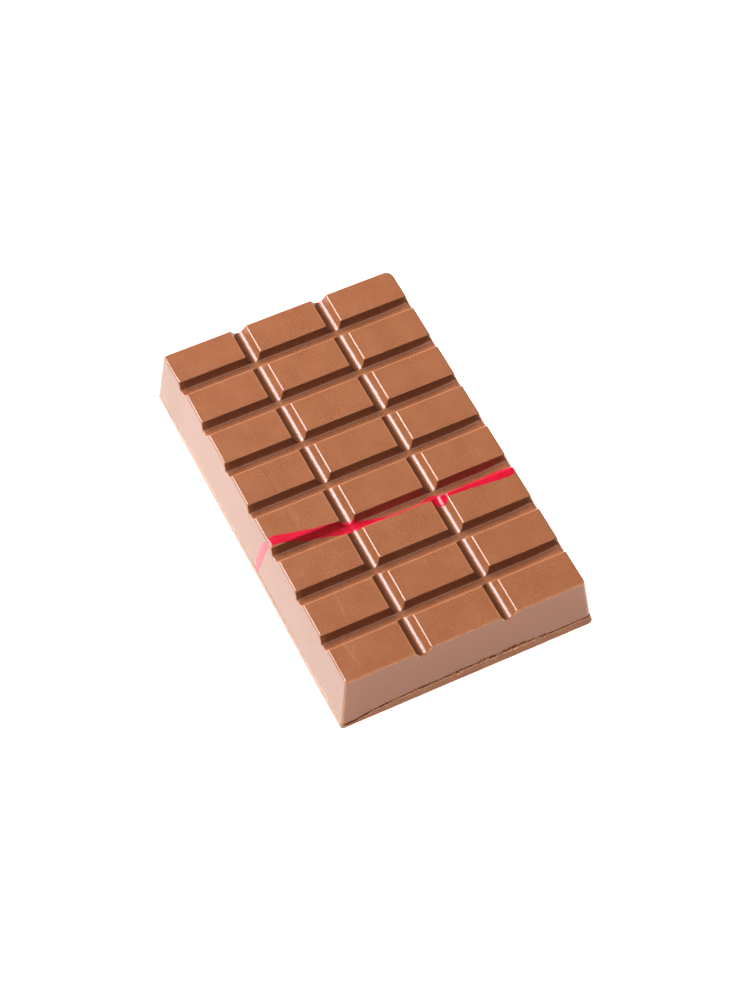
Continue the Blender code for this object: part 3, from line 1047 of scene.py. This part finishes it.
def area_light(name, direction, across, distance, size, radiance, colour=(1, 1, 1)):
    """A soft rectangular light that faces the bar from a direction, its width along across."""
    light = bpy.data.lights.new(name, "AREA")
    light.shape = "RECTANGLE"
    light.size, light.size_y = size
    light.energy = radiance * math.pi * size[0] * size[1]
    light.color = colour
    obj = bpy.data.objects.new(name, light)
    away = Vector(direction).normalized()
    upward = away.cross(Vector(across)).normalized()
    turn = Matrix((upward.cross(away), upward, away)).transposed()
    obj.matrix_world = Matrix.Translation(away * distance) @ turn.to_4x4()
    bpy.context.scene.collection.objects.link(obj)


SOFTBOX_FROM = (-0.36, 0.505, 0.79)
SOFTBOX_ACROSS = (0.907, 0, 0.42)
SOFTBOX_SIZE = (0.94, 0.34)
SOFTBOX_RADIANCE = 14.6
BACK_LIGHT_FROM = (-0.3, 0.8, 0.5)
BACK_SIZE = (1.0, 0.34)
BACK_RADIANCE = 12
BOX_COLOUR = (0.96, 1.0, 1.08)
FRONT_PANEL_FROM = (0.25, -0.47, 0.84)
FRONT_PANEL_RADIANCE = 5
WALL_RADIANCE = 1.7  # white walls behind and to the right, low down
BOX_AWAY, WALL_AWAY = 1.2, 1.3  # how far off the lights and the walls stand, in metres
# Name, direction, which way its width runs, distance, size, radiance and colour
LIGHTS = (
    ("softbox", SOFTBOX_FROM, SOFTBOX_ACROSS, BOX_AWAY, SOFTBOX_SIZE, SOFTBOX_RADIANCE, BOX_COLOUR),
    ("back_light", BACK_LIGHT_FROM, SOFTBOX_ACROSS, BOX_AWAY, BACK_SIZE, BACK_RADIANCE, BOX_COLOUR),
    ("front_panel", FRONT_PANEL_FROM, (1, 0, 0), BOX_AWAY, (0.5, 0.08), FRONT_PANEL_RADIANCE),
    ("rear_wall", (0.1, 1, 0.17), (1, -0.1, 0), WALL_AWAY, (2.2, 0.42), WALL_RADIANCE),
    ("right_wall", (1, 0.25, 0.07), (-0.25, 1, 0), WALL_AWAY, (1.8, 0.18), WALL_RADIANCE),
)
FLOOR_REACH = 1.6  # metres
FLOOR_CORNERS = ((-1, -1), (1, -1), (1, 1), (-1, 1))
FLOOR_GLOW = 1.15
SKY = 0.12


def build_stage():
    """A white studio: the lights, a dim sky and a glowing table."""
    scene = bpy.context.scene
    scene.view_settings.view_transform = "Standard"
    world = bpy.data.worlds.new("studio")
    scene.world = world
    world.use_nodes = True
    world.node_tree.nodes["Background"].inputs["Color"].default_value = (1, 1, 1, 1)
    world.node_tree.nodes["Background"].inputs["Strength"].default_value = SKY
    for light in LIGHTS:
        area_light(*light)
    mesh = bpy.data.meshes.new("floor")
    corners = [(x * FLOOR_REACH, y * FLOOR_REACH, 0) for x, y in FLOOR_CORNERS]
    mesh.from_pydata(corners, [], [(0, 1, 2, 3)])
    floor = bpy.data.objects.new("floor", mesh)
    floor.location.z = -0.0001
    scene.collection.objects.link(floor)
    material, _, shader = new_material("white_table")
    shader.inputs["Base Color"].default_value = (0.45, 0.45, 0.45, 1)
    shader.inputs["Roughness"].default_value = 0.6
    shader.inputs["Emission Color"].default_value = (1, 1, 1, 1)
    shader.inputs["Emission Strength"].default_value = FLOOR_GLOW
    mesh.materials.append(material)


def build_camera():
    """The photograph's view: a long lens, turned a little about its axis, with no shift."""
    forward = Vector(
        (
            math.sin(VIEW_AZIMUTH) * math.cos(VIEW_ELEVATION),
            math.cos(VIEW_AZIMUTH) * math.cos(VIEW_ELEVATION),
            -math.sin(VIEW_ELEVATION),
        )
    )
    camera = bpy.data.cameras.new("camera")
    camera.lens = LENS
    camera.sensor_width = 36
    camera.clip_start = 0.01
    obj = bpy.data.objects.new("camera", camera)
    turn = forward.to_track_quat("-Z", "Y").to_matrix() @ Matrix.Rotation(VIEW_ROLL, 3, "Z")
    place = Vector(VIEW_AIM) - forward * VIEW_DISTANCE
    obj.matrix_world = Matrix.Translation(place) @ turn.to_4x4()
    bpy.context.scene.collection.objects.link(obj)
    bpy.context.scene.camera = obj


def main():
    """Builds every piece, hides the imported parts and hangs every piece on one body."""
    build_stage()
    build_camera()
    body = build_body()
    body.data.materials.append(body_material())
    layer = build_layer()
    layer.data.materials.append(layer_material())
    stripe = build_stripe()
    stripe.data.materials.append(stripe_material())
    crumbs = build_crumbs()
    crumbs.data.materials.append(crumb_material())
    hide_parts("moulded_body")
    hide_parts("backing_layer")
    for piece, slot in (
        (body, "milk_chocolate"),
        (layer, "backing_chocolate"),
        (stripe, "milk_chocolate"),
        (crumbs, "backing_chocolate"),
    ):
        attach(piece, "root")
    bpy.context.view_layer.update()


main()
